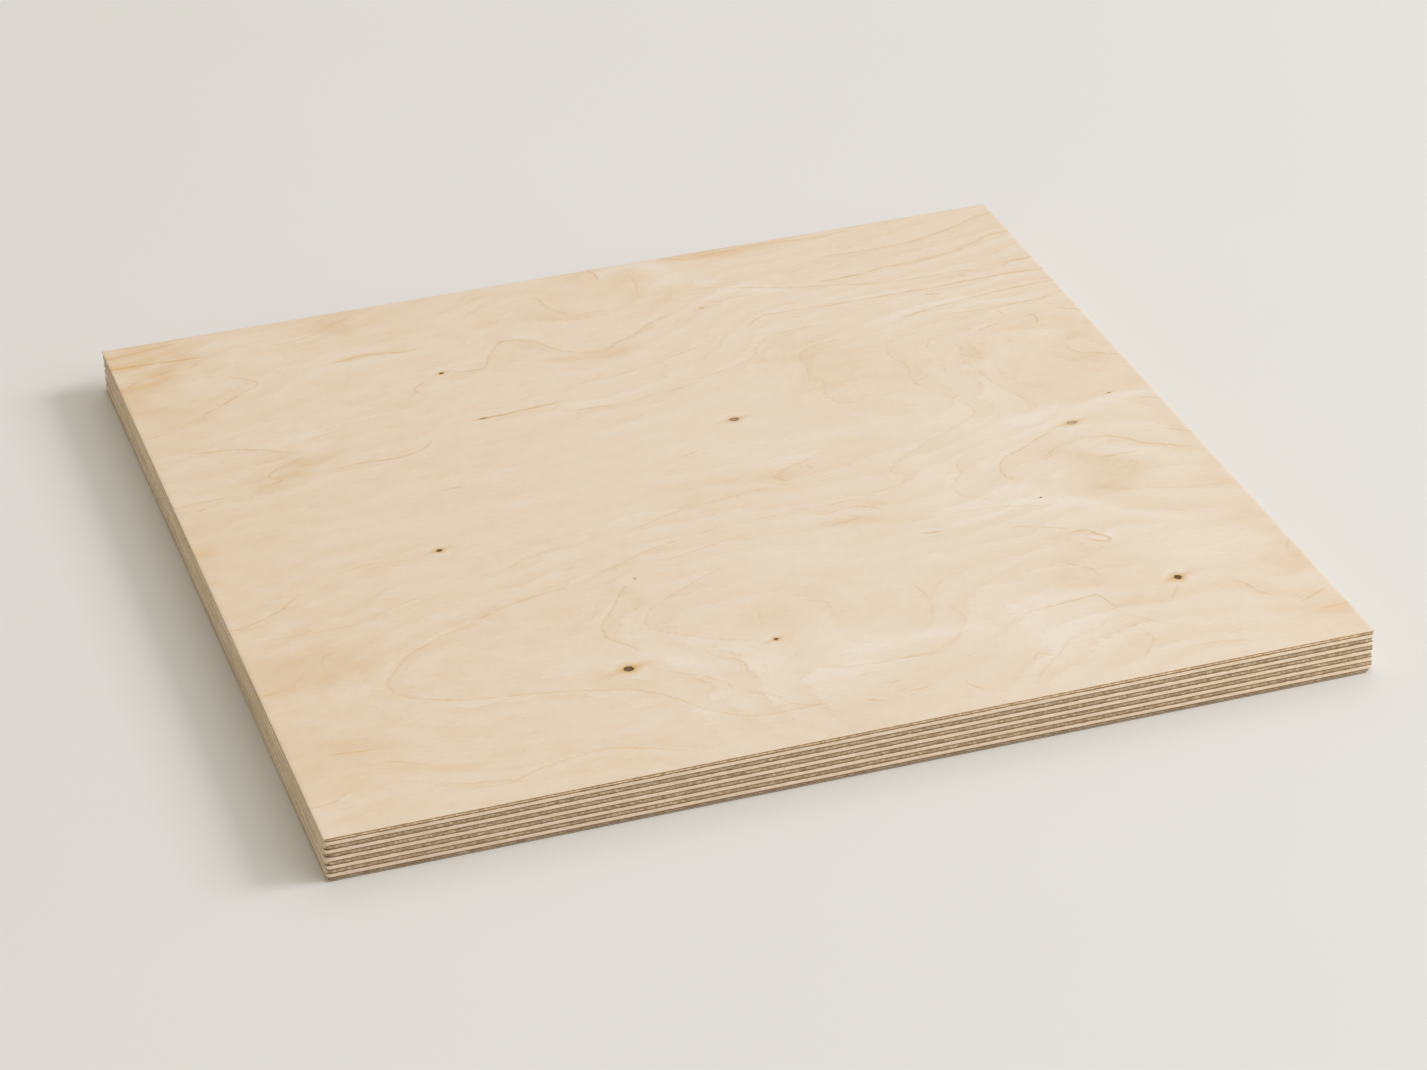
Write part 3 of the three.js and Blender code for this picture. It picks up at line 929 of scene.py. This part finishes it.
def floor_paint(settings):
    """Smooth pale matt paint: nearly one tone, with a trace of cloudiness."""
    material = bpy.data.materials.new("matt floor paint")
    add = empty_tree(material)
    clouds = add("TexNoise", add("TexCoord").outputs["Object"], 4.0, 3.0)
    shade = add("MapRange", clouds, inputs={"To Min": 0.985, "To Max": 1.015})
    colour = add("Mix", 1.0, settings.floor, shade, **TINTED)
    add("OutputMaterial", add("BsdfPrincipled", colour, inputs={"Roughness": 0.9, "Specular IOR Level": 0.2}))
    return material


# Operators ----------------------------------------------------------------------------------------------------------


class PLYWOOD_OT_cross_plies(bpy.types.Operator):
    """Models the six inner veneers whose grain runs across the sheet"""

    bl_idname = "plywood.cross_plies"
    bl_label = "Cross plies"

    def execute(self, context):
        for number in range(1, 7):
            model_ply(f"cross_ply_{number}", 2 * number, True, context.scene.plywood)
        return {"FINISHED"}


class PLYWOOD_OT_long_plies(bpy.types.Operator):
    """Models the five inner veneers whose grain runs along the sheet"""

    bl_idname = "plywood.long_plies"
    bl_label = "Long plies"

    def execute(self, context):
        for number in range(1, 6):
            model_ply(f"long_ply_{number}", 2 * number + 1, False, context.scene.plywood)
        return {"FINISHED"}


class PLYWOOD_OT_back_veneer(bpy.types.Operator):
    """Models the sanded veneer on the underside"""

    bl_idname = "plywood.back_veneer"
    bl_label = "Back veneer"

    def execute(self, context):
        model_face("back_veneer", 1, BACK_RINGS, BACK_PATCHES, BACK_KNOTS, context.scene.plywood)
        return {"FINISHED"}


class PLYWOOD_OT_face_veneer(bpy.types.Operator):
    """Models the sanded veneer on top, with the figure of the log"""

    bl_idname = "plywood.face_veneer"
    bl_label = "Face veneer"

    def execute(self, context):
        model_face("face_veneer", 13, FACE_RINGS, FACE_PATCHES, FACE_KNOTS, context.scene.plywood)
        return {"FINISHED"}


# The lamps: name, azimuth and elevation in degrees, distance and width in metres
LAMPS = (("window", -10, 31, 7.0, 2.6), ("fill", -45, 33, 2.6, 1.6), ("back", 62, 50, 7.0, 5.0))
CAMERA_AZIMUTH, CAMERA_ELEVATION, CAMERA_ROLL = -107.09, 29.33, 1.92  # degrees
CAMERA_AIM = Vector((2.69 * MM, -13.12 * MM, 0))  # the point that the camera looks at


def towards(azimuth, elevation):
    """The direction at an azimuth from +X and an elevation, both in degrees."""
    azimuth, elevation = math.radians(azimuth), math.radians(elevation)
    flat = math.cos(elevation)
    return Vector((math.cos(azimuth) * flat, math.sin(azimuth) * flat, math.sin(elevation)))


def add_lamp(name, azimuth, elevation, distance, size, share, tint):
    """A square soft lamp aimed at the sheet. share is what it adds to the light on the floor, where 1 in all
    shows a colour as it is written."""
    direction = towards(azimuth, elevation)
    light = bpy.data.lights.new(name, "AREA")
    light.shape, light.size = "SQUARE", size
    light.energy = share * (math.pi * distance) ** 2 / math.sin(math.radians(elevation))
    light.color = tint[:3]
    lamp = bpy.data.objects.new(name, light)
    bpy.context.scene.collection.objects.link(lamp)
    lamp.location = direction * distance
    lamp.rotation_euler = direction.to_track_quat("Z", "Y").to_euler()


class PLYWOOD_OT_stage(bpy.types.Operator):
    """Sets the pale floor, the soft light and the camera"""

    bl_idname = "plywood.stage"
    bl_label = "Stage"

    def execute(self, context):
        scene, settings = context.scene, context.scene.plywood_stage
        bpy.ops.object.select_all(action="DESELECT")
        bpy.ops.mesh.primitive_plane_add(size=40, location=(0, 0, CAD_BOX[0][2]))
        floor = context.object
        floor.name = "floor"
        floor.data.materials.append(floor_paint(settings))

        scene.world = scene.world or bpy.data.worlds.new("studio")
        add = empty_tree(scene.world)
        even = add("Background", settings.sky_tint, settings.sky)
        backdrop = add("Background", settings.floor, 1.0)
        seen = add("LightPath").outputs["Is Camera Ray"]
        add("OutputWorld", add("MixShader", seen, even, backdrop))
        for name, *lie in LAMPS:
            add_lamp(name, *lie, getattr(settings, name), settings.lamp_tint)

        camera = bpy.data.objects.new("camera", bpy.data.cameras.new("camera"))
        scene.collection.objects.link(camera)
        camera.data.lens, camera.data.sensor_width = settings.lens, 36
        away = towards(CAMERA_AZIMUTH, CAMERA_ELEVATION)
        camera.location = CAMERA_AIM + settings.distance * away
        roll = Euler((0, 0, -math.radians(CAMERA_ROLL))).to_quaternion()
        camera.rotation_euler = (away.to_track_quat("Z", "Y") @ roll).to_euler()
        scene.camera = camera
        scene.view_settings.view_transform = "Standard"
        return {"FINISHED"}


class PLYWOOD_PT_panel(bpy.types.Panel):
    """Lists the pieces of the sheet and the stage"""

    bl_label = "Birch plywood"
    bl_idname = "PLYWOOD_PT_panel"
    bl_space_type = "VIEW_3D"
    bl_region_type = "UI"
    bl_category = "Plywood"

    def draw(self, context):
        for settings in (context.scene.plywood, context.scene.plywood_stage):
            for name in settings.bl_rna.properties.keys():
                if name not in ("name", "rna_type"):
                    self.layout.prop(settings, name)
        for operator in OPERATORS:
            self.layout.operator(operator.bl_idname)


OPERATORS = (
    PLYWOOD_OT_stage, PLYWOOD_OT_cross_plies, PLYWOOD_OT_long_plies, PLYWOOD_OT_back_veneer, PLYWOOD_OT_face_veneer,
)
CLASSES = (PlywoodSettings, StageSettings, *OPERATORS, PLYWOOD_PT_panel)


def register():
    for cls in CLASSES:
        bpy.utils.register_class(cls)
    bpy.types.Scene.plywood = PointerProperty(type=PlywoodSettings)
    bpy.types.Scene.plywood_stage = PointerProperty(type=StageSettings)


def unregister():
    del bpy.types.Scene.plywood_stage
    del bpy.types.Scene.plywood
    for cls in reversed(CLASSES):
        bpy.utils.unregister_class(cls)


def main():
    """Models the sheet on its stage."""
    register()
    bpy.ops.plywood.stage()
    bpy.ops.plywood.cross_plies()
    bpy.ops.plywood.long_plies()
    bpy.ops.plywood.back_veneer()
    bpy.ops.plywood.face_veneer()


if __name__ == "__main__":
    main()
